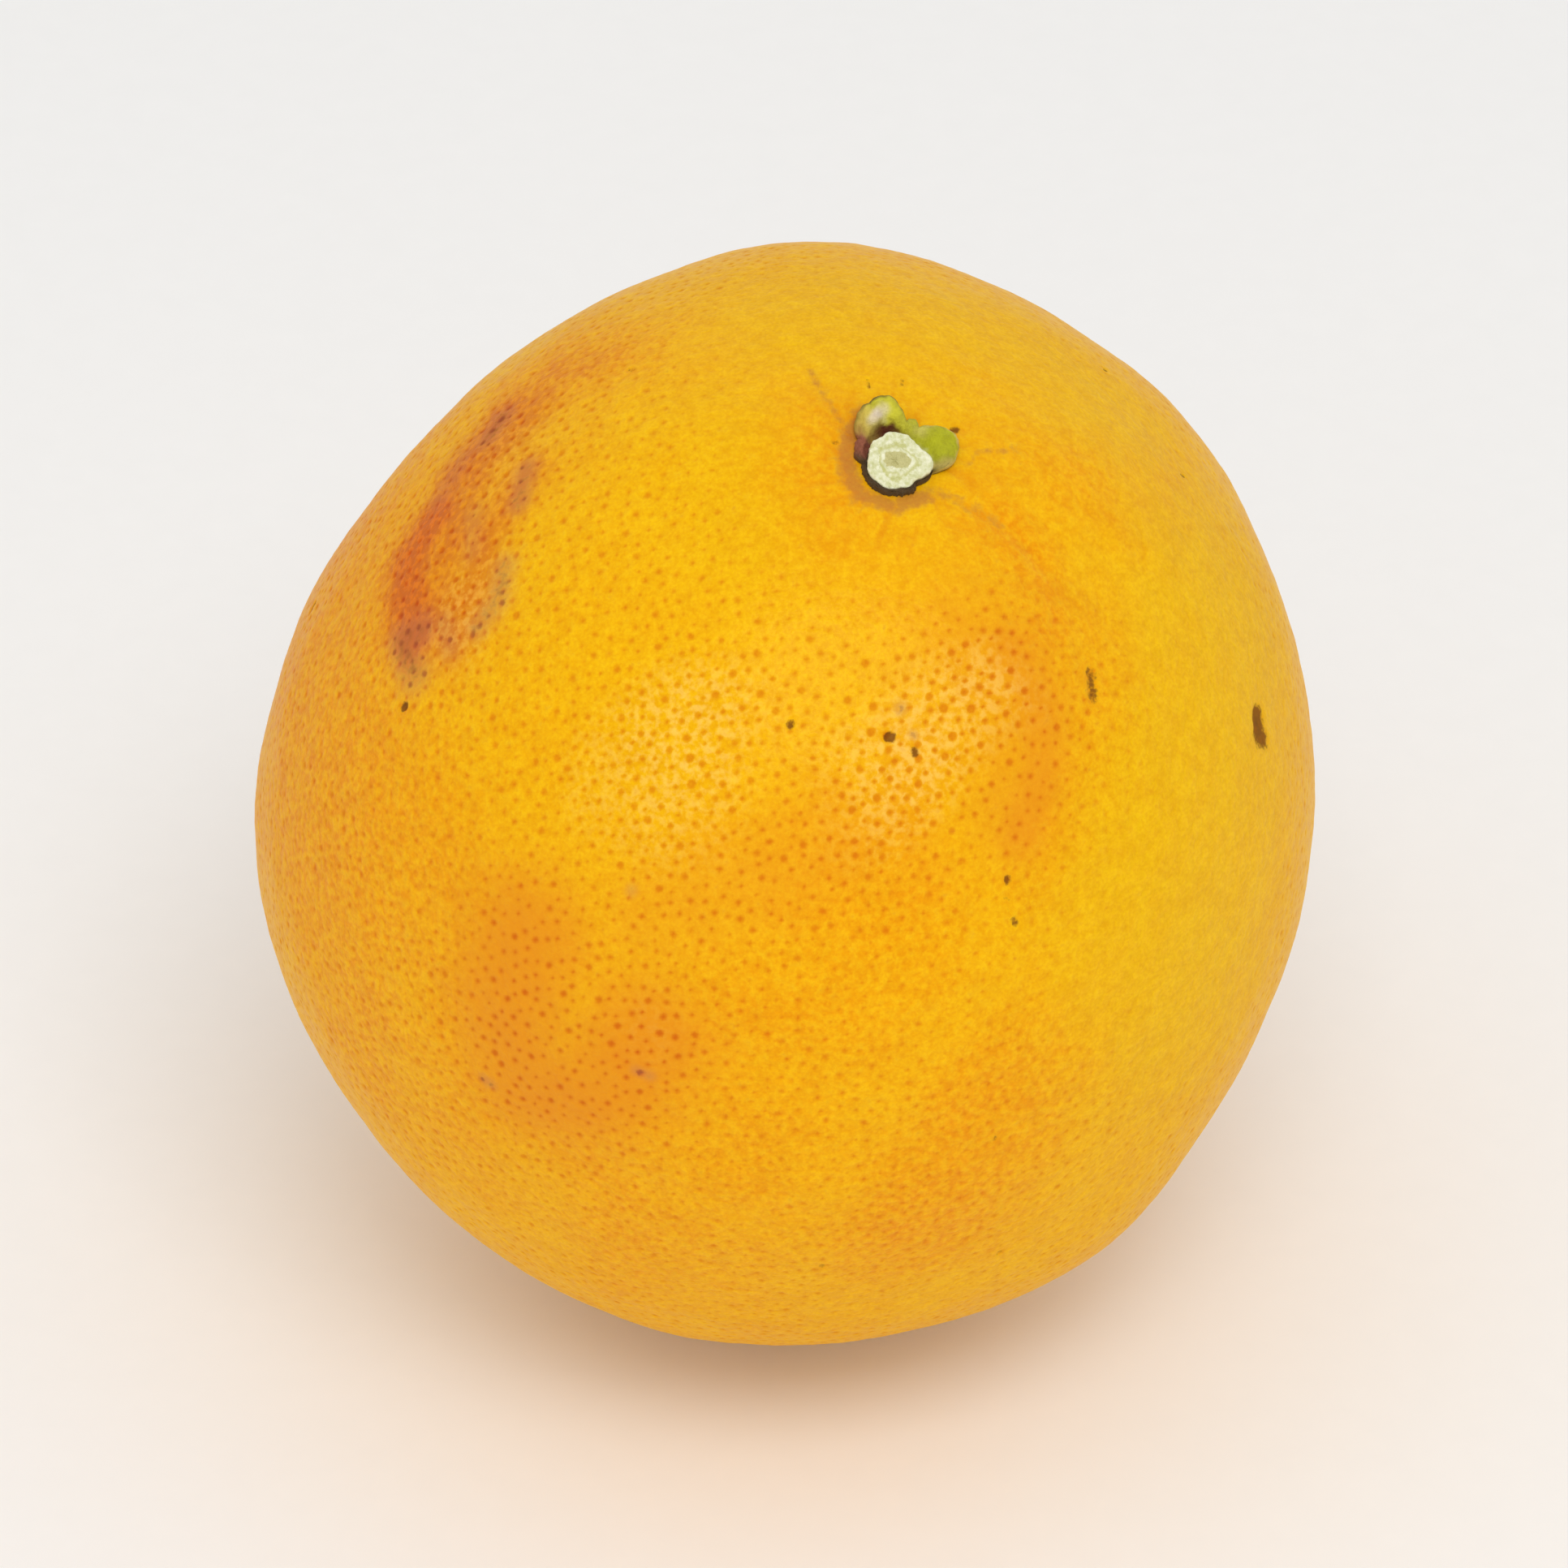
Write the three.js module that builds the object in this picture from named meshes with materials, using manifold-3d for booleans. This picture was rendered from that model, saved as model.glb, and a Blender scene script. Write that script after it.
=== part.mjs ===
// A whole grapefruit as picked, resting on the small flat spot where its skin is pressed down.
// Millimetres, +Z up, origin at the centre of the rest spot. Three pieces: the fruit, the calyx
// (the green button with its sepals) and the clipped stub of the stem inside it.
// Each piece is made in the fruit's own axes, with +Z along the stem, and then leaned over.
import * as THREE from "three";
import { mergeVertices } from "three/addons/utils/BufferGeometryUtils.js";
import Module from "manifold-3d";

const wasm = await Module();
wasm.setup();

// Driving dimensions of the fruit.
const acrossRadius = 53.4; // from the stem axis out to the widest ring
const stemReach = 58.2; // from the widest ring up to the stem end
const blossomReach = 56; // from the widest ring down to the blossom end
const stemLean = 21; // degrees between the stem and upright
const stemHeading = -61; // degrees about +Z from +X, the way the stem leans
const restSpotDepth = 1.4; // how far the skin is pressed flat where it rests
const stemHollow = { depth: 0.9, radius: 9 };
const blossomHollow = { depth: 0.6, radius: 6 };
const shoulderFolds = { count: 5, height: 0.35, from: 7, to: 38, turn: 20 }; // from, to: degrees off the stem
const mainFold = { round: -22, halfWidth: 18, depth: 0.8, from: 6, to: 34 }; // the deepest one

// Where the fruit swells (height above 0) or is flattened (below 0) against a true ovoid.
// offStem: degrees down from the stem, round: degrees about it, spread: degrees, height: mm.
const swellings = [
  { offStem: 72, round: 146, spread: 33, height: -2.8 },
  { offStem: 116, round: -137, spread: 30, height: -0.9 },
  { offStem: 69, round: 13, spread: 25, height: -1.1 },
  { offStem: 89, round: -17, spread: 20, height: -1.2 },
  { offStem: 54, round: 97, spread: 14, height: 1.1 },
  { offStem: 109, round: -49, spread: 14, height: 0.9 },
  { offStem: 121, round: -94, spread: 6, height: 0.35 },
];

// Driving dimensions of the stub and the calyx.
const stubRadius = 2.6;
const stubHeight = 1.7; // of its cut face above the skin, at the middle
const cutSlant = 20; // degrees that the cut face tips towards cutHeading
const cutHeading = -90; // degrees about the stem
const cutRimWear = { width: 0.3, from: 0.8 }; // from: share of the stub's height
const collarReach = 3.5; // from the stem axis out to the collar's torn rim
const collarHeight = 1.2; // beside the stub
const rimThickness = 0.5;
const gap = 0.3; // between touching pieces
const hair = 0.001; // what lies nearer a plane than this is on it

// The five sepals. round: degrees about the stem, reach: mm from its axis, curl: mm that the tip
// stands off the skin, halfWidth: degrees. Two are whole and three are torn short.
const sepals = [
  { round: 38, reach: 7.2, curl: 1, halfWidth: 40 },
  { round: 102, reach: 6.8, curl: 2.3, halfWidth: 37 },
  { round: 144, reach: 4.3, curl: 0.2, halfWidth: 30 },
  { round: 228, reach: 3.7, curl: 0, halfWidth: 28 },
  { round: 300, reach: 3.8, curl: 0.1, halfWidth: 26 },
];

// Fineness of the meshes.
const skinCells = 24; // along each edge of the cube that the skin is blown up from
const ringCells = 48; // around the calyx and the stub
const sepalCells = 5; // from the calyx's inner wall out to its rim

const stemAxis = new THREE.Vector3(0, 0, 1);
const radians = THREE.MathUtils.degToRad;

// The unit vector that many degrees down from the stem and round it.
function toward(offStem, round) {
  const out = Math.sin(radians(offStem));
  const up = Math.cos(radians(offStem));
  return new THREE.Vector3(out * Math.cos(radians(round)), out * Math.sin(radians(round)), up);
}

const bell = (x) => Math.exp(-x * x);

// The shortest way round from one angle to another, in degrees.
function turnBetween(a, b) {
  return Math.abs(THREE.MathUtils.euclideanModulo(a - b + 180, 360) - 180);
}

// 0 at both ends of a band and 1 at its middle.
function band(value, from, to) {
  const share = THREE.MathUtils.clamp((value - from) / (to - from), 0, 1);
  return Math.sin(Math.PI * share) ** 2;
}

// Radius of an ovoid of revolution in a direction: one half-ellipse above the widest ring, one below.
function ovoidRadius(direction) {
  const reach = direction.z > 0 ? stemReach : blossomReach;
  const outward = Math.hypot(direction.x, direction.y);
  return 1 / Math.hypot(outward / acrossRadius, direction.z / reach);
}

const swellingAxes = swellings.map(({ offStem, round }) => toward(offStem, round));

// Height of the folds that gather the shoulder towards the stem.
function foldHeight(offStem, round) {
  const { count, height, from, to, turn } = shoulderFolds;
  const gathered = height * Math.cos(count * radians(round - turn)) * band(offStem, from, to);
  const beside = turnBetween(round, mainFold.round) / mainFold.halfWidth;
  return gathered - mainFold.depth * bell(beside) * band(offStem, mainFold.from, mainFold.to);
}

// Distance from the fruit's centre out to its skin, in a unit direction.
function skinRadius(direction) {
  const offStem = THREE.MathUtils.radToDeg(direction.angleTo(stemAxis));
  const round = THREE.MathUtils.radToDeg(Math.atan2(direction.y, direction.x));
  let radius = ovoidRadius(direction) + foldHeight(offStem, round);
  radius -= stemHollow.depth * bell((radians(offStem) * stemReach) / stemHollow.radius);
  radius -= blossomHollow.depth * bell((radians(180 - offStem) * blossomReach) / blossomHollow.radius);
  swellings.forEach(({ spread, height }, i) => {
    radius += height * bell(direction.angleTo(swellingAxes[i]) / radians(spread));
  });
  return radius;
}

// Moves each vertex of a geometry to where place(vertex) puts it.
function reshape(geometry, place) {
  const position = geometry.getAttribute("position");
  const vertex = new THREE.Vector3();
  for (let i = 0; i < position.count; i++) {
    const { x, y, z } = place(vertex.fromBufferAttribute(position, i));
    position.setXYZ(i, x, y, z);
  }
  return geometry;
}

// The same surface with its shared vertices merged, so that only position is left.
function welded(geometry) {
  geometry.deleteAttribute("normal");
  geometry.deleteAttribute("uv");
  return mergeVertices(geometry);
}

function solidOf(geometry) {
  const merged = welded(geometry);
  return new wasm.Manifold(
    new wasm.Mesh({
      numProp: 3,
      vertProperties: merged.getAttribute("position").array,
      triVerts: new Uint32Array(merged.index.array),
    }),
  );
}

function geometryOf(solid) {
  const { vertProperties, triVerts } = solid.getMesh();
  return new THREE.BufferGeometry()
    .setAttribute("position", new THREE.BufferAttribute(vertProperties, 3))
    .setIndex(new THREE.BufferAttribute(triVerts, 1));
}

// The whole skin before it is pressed flat: a cube blown up into the fruit's shape.
function skinGeometry() {
  const spread = (x) => Math.tan((x * Math.PI) / 4);
  return reshape(new THREE.BoxGeometry(2, 2, 2, skinCells, skinCells, skinCells), (corner) => {
    const direction = new THREE.Vector3(spread(corner.x), spread(corner.y), spread(corner.z)).normalize();
    return direction.multiplyScalar(skinRadius(direction));
  });
}

// The turn from the fruit's own axes to the way it lies.
function leanTurn() {
  const tippingAxis = toward(90, stemHeading + 90);
  return new THREE.Quaternion().setFromAxisAngle(tippingAxis, radians(stemLean));
}

// All the vertices of a geometry, turned the way the fruit lies.
function leanedVertices(geometry, turn) {
  const position = geometry.getAttribute("position");
  const vertices = [];
  for (let i = 0; i < position.count; i++) {
    vertices.push(new THREE.Vector3().fromBufferAttribute(position, i).applyQuaternion(turn));
  }
  return vertices;
}

// The fruit with its rest spot cut flat, and where the middle of that spot is once it is leaned over.
function pressedFruit(turn) {
  const skin = skinGeometry();
  const lowest = Math.min(...leanedVertices(skin, turn).map((v) => v.z));
  const restHeight = lowest + restSpotDepth;
  const side = 4 * acrossRadius; // of a block of ground wider than the fruit
  const ground = new THREE.BoxGeometry(side, side, side).translate(0, 0, restHeight - side / 2);
  ground.applyQuaternion(turn.clone().invert());
  const fruit = geometryOf(solidOf(skin).subtract(solidOf(ground)));
  const onGround = leanedVertices(fruit, turn).filter((v) => v.z < restHeight + hair);
  const middle = new THREE.Box3().setFromPoints(onGround).getCenter(new THREE.Vector3());
  return { fruit, restSpot: new THREE.Vector3(middle.x, middle.y, restHeight) };
}

// The point that height above the skin, at a distance out from the stem axis and a turn round it.
function aboveSkin(out, round, height) {
  const direction = toward(THREE.MathUtils.radToDeg(out / stemReach), round);
  return direction.multiplyScalar(skinRadius(direction) + gap + height);
}

// A solid of revolution about the stem axis. The profile runs as [out, up] pairs.
function turned(profile) {
  const points = profile.map(([out, up]) => new THREE.Vector2(out, up));
  return new THREE.LatheGeometry(points, ringCells).rotateX(Math.PI / 2);
}

const roundOf = (vertex) => THREE.MathUtils.radToDeg(Math.atan2(vertex.y, vertex.x));

// The stub of the stem: a short peg clipped at a slant, with the rim of its cut face worn round.
// Its profile's heights are shares of the peg's height at each place.
function stubGeometry() {
  const faceRadius = stubRadius - cutRimWear.width;
  const side = [[0, 0], [stubRadius, 0], [stubRadius, cutRimWear.from]];
  const profile = [...side, [faceRadius, 1], [faceRadius / 2, 1], [0, 1]];
  const slope = Math.tan(radians(cutSlant));
  return reshape(turned(profile), (vertex) => {
    const round = roundOf(vertex);
    const out = Math.hypot(vertex.x, vertex.y);
    const drop = slope * out * Math.cos(radians(round - cutHeading));
    return aboveSkin(out, round, (stubHeight - gap - drop) * vertex.z);
  });
}

// How much of a sepal there is at a turn about the stem: 1 along its middle, 0 past its edges.
function sepalShare(sepal, round) {
  return band(turnBetween(round, sepal.round), -sepal.halfWidth, sepal.halfWidth);
}

// The calyx: a collar round the stub that runs out into the five sepals.
function calyxGeometry() {
  const holeRadius = stubRadius + gap;
  const shares = Array.from({ length: sepalCells + 1 }, (_, i) => i / sepalCells);
  const underside = shares.map((share) => [1 + share, 0]);
  const top = shares.map((share) => [1 + share, 1]).reverse();
  const profile = [...underside, ...top, underside[0]];
  return reshape(turned(profile), (vertex) => {
    const round = roundOf(vertex);
    const share = Math.hypot(vertex.x, vertex.y) - 1;
    let reach = collarReach;
    let curl = 0;
    for (const sepal of sepals) {
      const part = sepalShare(sepal, round);
      reach += (sepal.reach - collarReach) * part;
      curl += sepal.curl * part;
    }
    const thickness = THREE.MathUtils.lerp(collarHeight - gap, rimThickness, share);
    const out = THREE.MathUtils.lerp(holeRadius, reach, share);
    return aboveSkin(out, round, curl * share ** 2 + thickness * vertex.z);
  });
}

function piece(name, geometry, color, roughness) {
  const material = new THREE.MeshStandardMaterial({ color, roughness, metalness: 0 });
  const surface = welded(geometry);
  surface.computeVertexNormals();
  const mesh = new THREE.Mesh(surface, material);
  mesh.name = name;
  return mesh;
}

function grapefruit() {
  const turn = leanTurn();
  const { fruit, restSpot } = pressedFruit(turn);
  const group = new THREE.Group();
  group.add(piece("fruit", fruit, "#f5b914", 0.45));
  group.add(piece("calyx", calyxGeometry(), "#a9ae3c", 0.7));
  group.add(piece("stem_stub", stubGeometry(), "#e6e3b4", 0.8));
  group.quaternion.copy(turn);
  group.position.copy(restSpot).negate();
  return group;
}

export default grapefruit();
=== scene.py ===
"""A whole grapefruit on a pale studio floor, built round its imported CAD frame.

Three fine meshes stand for the three CAD nodes: the skin with its oil glands, folds and marks, the
calyx with its five sepals, and the clipped stub of the stem. Lengths are in metres and +Z is up.
Places on the skin are pairs of degrees: down from the stem, and round it.
"""
import math
import random

import bpy
import numpy as np
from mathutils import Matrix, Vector, kdtree, noise
from mathutils.bvhtree import BVHTree


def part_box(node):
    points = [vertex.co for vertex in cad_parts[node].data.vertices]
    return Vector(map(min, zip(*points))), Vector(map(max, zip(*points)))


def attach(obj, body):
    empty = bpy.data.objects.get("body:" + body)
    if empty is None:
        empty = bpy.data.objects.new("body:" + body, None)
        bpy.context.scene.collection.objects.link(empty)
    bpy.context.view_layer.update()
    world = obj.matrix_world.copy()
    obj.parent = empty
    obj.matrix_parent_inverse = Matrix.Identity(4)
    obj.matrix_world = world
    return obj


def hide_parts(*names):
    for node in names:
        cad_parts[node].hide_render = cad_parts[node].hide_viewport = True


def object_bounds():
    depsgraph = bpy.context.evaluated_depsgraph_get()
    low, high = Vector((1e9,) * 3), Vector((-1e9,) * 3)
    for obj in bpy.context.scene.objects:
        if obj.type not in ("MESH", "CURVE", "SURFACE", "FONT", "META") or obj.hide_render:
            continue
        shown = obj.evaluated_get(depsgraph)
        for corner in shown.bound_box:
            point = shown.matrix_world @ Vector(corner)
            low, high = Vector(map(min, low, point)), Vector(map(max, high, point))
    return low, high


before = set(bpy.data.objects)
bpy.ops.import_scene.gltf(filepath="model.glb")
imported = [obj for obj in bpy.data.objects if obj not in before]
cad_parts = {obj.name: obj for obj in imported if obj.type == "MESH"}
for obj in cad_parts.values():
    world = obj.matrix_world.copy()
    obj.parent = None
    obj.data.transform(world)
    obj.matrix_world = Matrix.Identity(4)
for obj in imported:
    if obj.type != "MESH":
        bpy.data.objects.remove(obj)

cad_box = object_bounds()

MM = 0.001
RANDOM_SEED = 7

# The camera: a long lens that looks down on the fruit.
CAMERA_ELEVATION = 38
CAMERA_DISTANCE = 0.96
LENS_MM = 222

# The stage.
FLOOR_RADIUS = 6.0
FLOOR_SIDES = 96
FLOOR_GAP = 0.05 * MM  # between the floor and the fruit
WORLD_STRENGTH = 0.78

# How fine the meshes are.
SKIN_CELLS = 40  # along each edge of the cube that the skin is blown up from
SKIN_HALVINGS = 3  # times that each cell is then halved
BUTTON_CELLS = 300  # round the calyx and the stub
SEPAL_CELLS = 36  # from the calyx's inner wall out to its rim

# Oil glands in the skin.
GLAND_ROOM = (1.0 * MM, 1.45 * MM)  # least way to the next one, from a small and from a large one
GLAND_WIDTH = 0.38 * MM
GLAND_DEPTH = 0.11 * MM

# Other relief of the skin.
RAY_DEPTH = 0.08 * MM
SCAR_DEPTH = 0.16 * MM
RIPPLES = ((0.06 * MM, 2.6 * MM, 11), (0.022 * MM, 0.9 * MM, 13))  # height, wavelength, seed
LUMPS = (0.13 * MM, 3.2 * MM, 15)
BLOSSOM_RIM_HEIGHT = 0.22 * MM
BLOSSOM_DISC_DEPTH = 0.18 * MM

# The button at the stem end, as in the CAD model but with its collar worn thinner and lower.
STUB_RADIUS = 2.6 * MM
STUB_HEIGHT = 1.7 * MM
CUT_SLANT = 20
CUT_HEADING = -90
COLLAR_REACH = 2.9 * MM
COLLAR_HEIGHT = 0.8 * MM
COLLAR_WALL = 0.2 * MM  # the least it can be worn to
RIM_THICKNESS = 0.55 * MM
LEAST_THICKNESS = 0.1 * MM
STUB_GAP = 0.05 * MM  # between the stub and the collar
SKIN_GAP = 0.02 * MM  # between the skin and the calyx
SEPALS = (  # degrees round the stem, reach from its axis, curl of the tip off the skin, half-width
    (38, 7.2 * MM, 1.0 * MM, 40),
    (102, 6.8 * MM, 2.3 * MM, 37),
    (144, 4.3 * MM, 0.2 * MM, 30),
    (228, 3.0 * MM, 0, 28),
    (300, 3.1 * MM, 0.1 * MM, 26),
)


def srgb(red, green, blue):
    """A linear colour from screen values of 0 to 255."""
    channels = np.array((red, green, blue)) / 255
    linear = np.where(channels > 0.04045, ((channels + 0.055) / 1.055) ** 2.4, channels / 12.92)
    return (*linear.tolist(), 1.0)


def bell(x):
    return np.exp(-np.square(x))


def smooth_step(x, low, high):
    share = np.clip((x - low) / (high - low), 0, 1)
    return share * share * (3 - 2 * share)


def turn_from(turn, degrees):
    """The signed way round, in radians, from so many degrees to a turn."""
    return np.remainder(turn - math.radians(degrees) + math.pi, 2 * math.pi) - math.pi


# ---- Where things are on the fruit ----

cad_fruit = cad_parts["fruit"].data
cad_skin = BVHTree.FromPolygons(
    [v.co.copy() for v in cad_fruit.vertices], [tuple(p.vertices) for p in cad_fruit.polygons]
)


def middle(box):
    return (box[0] + box[1]) / 2


core = middle(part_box("fruit"))
stem_axis = (middle(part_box("stem_stub")) - core).normalized()
lean = Vector((0, 0, 1)).rotation_difference(stem_axis)
stem_reach = (cad_skin.ray_cast(core, stem_axis)[0] - core).length


def way(off_stem, round_stem):
    """The unit vector out of the core, in the fruit's own axes with the stem as +Z."""
    down, turn = math.radians(off_stem), math.radians(round_stem)
    out = math.sin(down)
    return np.array((out * math.cos(turn), out * math.sin(turn), math.cos(down)))


def near_stem(out, turn, height):
    """The point so far out along the skin from the stem axis, and so high above the skin."""
    outward = lean @ Vector(way(math.degrees(out / stem_reach), math.degrees(turn)))
    return cad_skin.ray_cast(core, outward)[0] + outward * height


class Surface:
    """A fine mesh's vertices, where they lie on the fruit, and what is painted on them."""

    def __init__(self, mesh):
        self.mesh = mesh
        self.points = self.read(mesh.vertices, "co")
        self.normals = self.read(mesh.vertex_normals, "vector")
        local = (self.points - np.array(core)) @ np.array(lean.to_matrix())
        self.ways = local / np.linalg.norm(local, axis=1)[:, None]
        self.off_stem = np.degrees(np.arccos(np.clip(self.ways[:, 2], -1, 1)))
        self.turn = np.arctan2(self.ways[:, 1], self.ways[:, 0])
        self.out = np.radians(self.off_stem) * stem_reach

    @staticmethod
    def read(elements, field):
        flat = np.empty(len(elements) * 3)
        elements.foreach_get(field, flat)
        return flat.reshape(-1, 3)

    def stroke(self, places, width, amount=1.0):
        """A soft brush stroke through places on the skin: amount along it, less past its width."""
        path = [way(*place) for place in places]
        nearest = np.linalg.norm(self.ways - path[0], axis=1)
        for start, end in zip(path, path[1:]):
            along = end - start
            share = np.clip((self.ways - start) @ along / (along @ along), 0, 1)
            distance = np.linalg.norm(self.ways - start - share[:, None] * along, axis=1)
            nearest = np.minimum(nearest, distance)
        return amount * bell(nearest * stem_reach / width)

    def strokes(self, marks):
        """Several strokes together, the strongest winning."""
        painted = np.zeros(len(self.points))
        for mark in marks:
            painted = np.maximum(painted, self.stroke(*mark))
        return painted

    def paint(self, name, values):
        """Keeps a value or a colour per vertex for the materials to read."""
        kind, field = ("FLOAT", "value") if np.ndim(values) == 1 else ("FLOAT_COLOR", "color")
        layer = self.mesh.attributes.new(name, kind, "POINT")
        layer.data.foreach_set(field, np.ascontiguousarray(values, np.float32).ravel())

    def rough(self, wavelength, seed):
        """Smooth noise from -1 to 1, with bumps about a wavelength across."""
        shift = Vector((seed * 1.7, -seed * 2.3, seed * 0.9))
        return np.array([noise.noise(Vector(p) + shift) for p in self.points / wavelength])

    def move(self, lift):
        """Moves every vertex out along its normal, and none below the floor."""
        moved = self.points + self.normals * lift[:, None]
        moved[:, 2] = np.maximum(moved[:, 2], 0)
        self.mesh.vertices.foreach_set("co", moved.ravel())
        self.mesh.update()


# ---- The skin ----

CUBE_SIDES = (  # outward, across and up, for each side of a cube
    ((1, 0, 0), (0, 1, 0), (0, 0, 1)), ((-1, 0, 0), (0, -1, 0), (0, 0, 1)),
    ((0, 1, 0), (-1, 0, 0), (0, 0, 1)), ((0, -1, 0), (1, 0, 0), (0, 0, 1)),
    ((0, 0, 1), (1, 0, 0), (0, 1, 0)), ((0, 0, -1), (1, 0, 0), (0, -1, 0)),
)
MAP_FILL = 0.985  # share of its place on the map that a side of the cube fills


def blown_cube(cells):
    """Directions, quads and a three-by-two map of a cube blown up into a ball."""
    steps = np.linspace(-1, 1, cells + 1)
    across, up = np.meshgrid(np.tan(steps * math.pi / 4), np.tan(steps * math.pi / 4))
    map_across, map_up = np.meshgrid(steps * MAP_FILL, steps * MAP_FILL)
    corner = np.arange((cells + 1) ** 2).reshape(cells + 1, cells + 1)
    quad = np.stack((corner[:-1, :-1], corner[:-1, 1:], corner[1:, 1:], corner[1:, :-1]), -1)
    quad = quad.reshape(-1, 4)
    directions, quads, places = [], [], []
    for number, (outward, sideways, upward) in enumerate(np.array(CUBE_SIDES, float)):
        side = outward + across[..., None] * sideways + up[..., None] * upward
        directions.append(side.reshape(-1, 3))
        quads.append(quad + number * corner.size)
        column, row = number % 3, number // 3
        place = np.stack(((column + 0.5 + map_across / 2) / 3, (row + 0.5 + map_up / 2) / 2), -1)
        places.append(place.reshape(-1, 2)[quad])
    directions, merged = np.unique(np.concatenate(directions).round(6), axis=0, return_inverse=True)
    directions /= np.linalg.norm(directions, axis=1)[:, None]
    return directions, merged.ravel()[np.concatenate(quads)], np.concatenate(places)


def uneven_skin_point(outward):
    """Where the skin is in a direction, with broad swells away from the stem and the floor."""
    point = cad_skin.ray_cast(core, outward)[0]
    swell = 0.45 * noise.noise(outward * 3.1 + Vector((4.2, 0, 0)))
    swell += 0.16 * noise.noise(outward * 8.3 + Vector((0, 9.1, 0)))
    swell *= smooth_step(point.z, 0.1 * MM, 5 * MM)
    swell *= smooth_step(outward.angle(stem_axis) * stem_reach, 6 * MM, 18 * MM)
    return point + outward * float(swell) * MM


def skin_mesh():
    """The CAD skin as a fine, smooth mesh with its map."""
    directions, quads, places = blown_cube(SKIN_CELLS)
    coarse = bpy.data.meshes.new("coarse_skin")
    coarse.from_pydata([uneven_skin_point(Vector(d)) for d in directions], [], quads.tolist())
    coarse.uv_layers.new(name="OFBake").data.foreach_set("uv", places.ravel())
    holder = bpy.data.objects.new("coarse_skin", coarse)
    bpy.context.scene.collection.objects.link(holder)
    halving = holder.modifiers.new("halving", "SUBSURF")
    halving.levels = SKIN_HALVINGS
    halved = holder.evaluated_get(bpy.context.evaluated_depsgraph_get())
    fine = bpy.data.meshes.new_from_object(halved)
    bpy.data.objects.remove(holder)
    bpy.data.meshes.remove(coarse)
    return fine


def gland_sites(points):
    """Which points glands sit at, no two nearer than their room, with each one's size up to 1."""
    draw = random.Random(RANDOM_SEED)
    low, high = GLAND_ROOM
    taken, sites = {}, []
    for index in draw.sample(range(len(points)), len(points) // 3):
        x, y, z = points[index]
        room = draw.uniform(low, high)
        cell = int(x // high), int(y // high), int(z // high)
        near = (
            other
            for i in (-1, 0, 1) for j in (-1, 0, 1) for k in (-1, 0, 1)
            for other in taken.get((cell[0] + i, cell[1] + j, cell[2] + k), ())
        )
        if all((x - a) ** 2 + (y - b) ** 2 + (z - c) ** 2 > room * room for a, b, c in near):
            taken.setdefault(cell, []).append((x, y, z))
            sites.append((index, room / high))
    return sites


def glands(surface):
    """How deep in a gland's pit each vertex is, from 0 to 1, and how dark that gland is."""
    sites = gland_sites(surface.points)
    tree = kdtree.KDTree(len(sites))
    for number, (index, _) in enumerate(sites):
        tree.insert(surface.points[index], number)
    tree.balance()
    found = [tree.find(point) for point in surface.points]
    nearest = np.array([number for _, number, _ in found])
    distance = np.array([gap for _, _, gap in found])
    size = np.array([size for _, size in sites])[nearest]
    ink = np.random.default_rng(RANDOM_SEED).uniform(0.7, 1.1, len(sites))[nearest]
    distance *= 1 + 0.3 * surface.rough(0.8 * MM, 17)
    return size * bell(distance / (GLAND_WIDTH * size)), ink


# Marks on the skin: the places that each stroke runs through, its width and its amount.
BLUSH = (
    (((18, -62), (27, -59), (36, -64)), 7.0 * MM, 0.7),
    (((21, -53), (27, -53), (33, -57), (38, -63)), 4.2 * MM, 0.95),
    (((22, -78), (34, -80), (40, -78)), 7.0 * MM, 0.4),
    (((38, -93), (45, -106), (53, -116)), 7.5 * MM, 0.6),
    (((62, -127), (70, -125), (78, -120), (73, -112), (65, -110)), 9.0 * MM, 1.15),
    (((84, -112), (90, -121)), 7.0 * MM, 0.4),
)
STREAK = (
    (((50, 175), (53.4, 180), (53.3, 186), (52.5, 192)), 4.6 * MM, 1.0),
    (((45, 158), (48, 167), (50, 175)), 5.0 * MM, 0.7),
    (((36, 148), (42, 151)), 5.0 * MM, 0.35),
    (((38, 175), (42, 183), (45, 192), (49, 197)), 4.5 * MM, 0.6),
    (((42, 160), (46, 172), (48, 184), (50, 192)), 6.0 * MM, 0.6),
)
BRUISE = (
    (((45, 159), (45.5, 163)), 2.0 * MM, 1.0),
    (((48.4, 166), (50, 172)), 2.4 * MM, 0.6),
    (((38, 173), (38.2, 180)), 1.7 * MM, 0.9),
    (((44, 179), (44, 185)), 2.0 * MM, 0.6),
    (((40.3, 191), (41.8, 196), (44.8, 198)), 1.9 * MM, 0.9),
    (((52, 193), (55, 192), (54.5, 196), (54, 198)), 2.6 * MM, 1.0),
    (((49, 194), (48.7, 198)), 1.8 * MM, 0.7),
    (((24.8, -84.2), (25, -84)), 0.7 * MM, 1.0),
    (((27.3, -81.5), (27.5, -81)), 0.5 * MM, 1.0),
    (((80.9, -124.2), (80.9, -123.4)), 0.9 * MM, 0.8),
    (((68.7, -109.2), (68.7, -107.6)), 0.8 * MM, 0.8),
    (((50.4, -118.4), (50.6, -118.4)), 0.8 * MM, 0.7),
)
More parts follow.
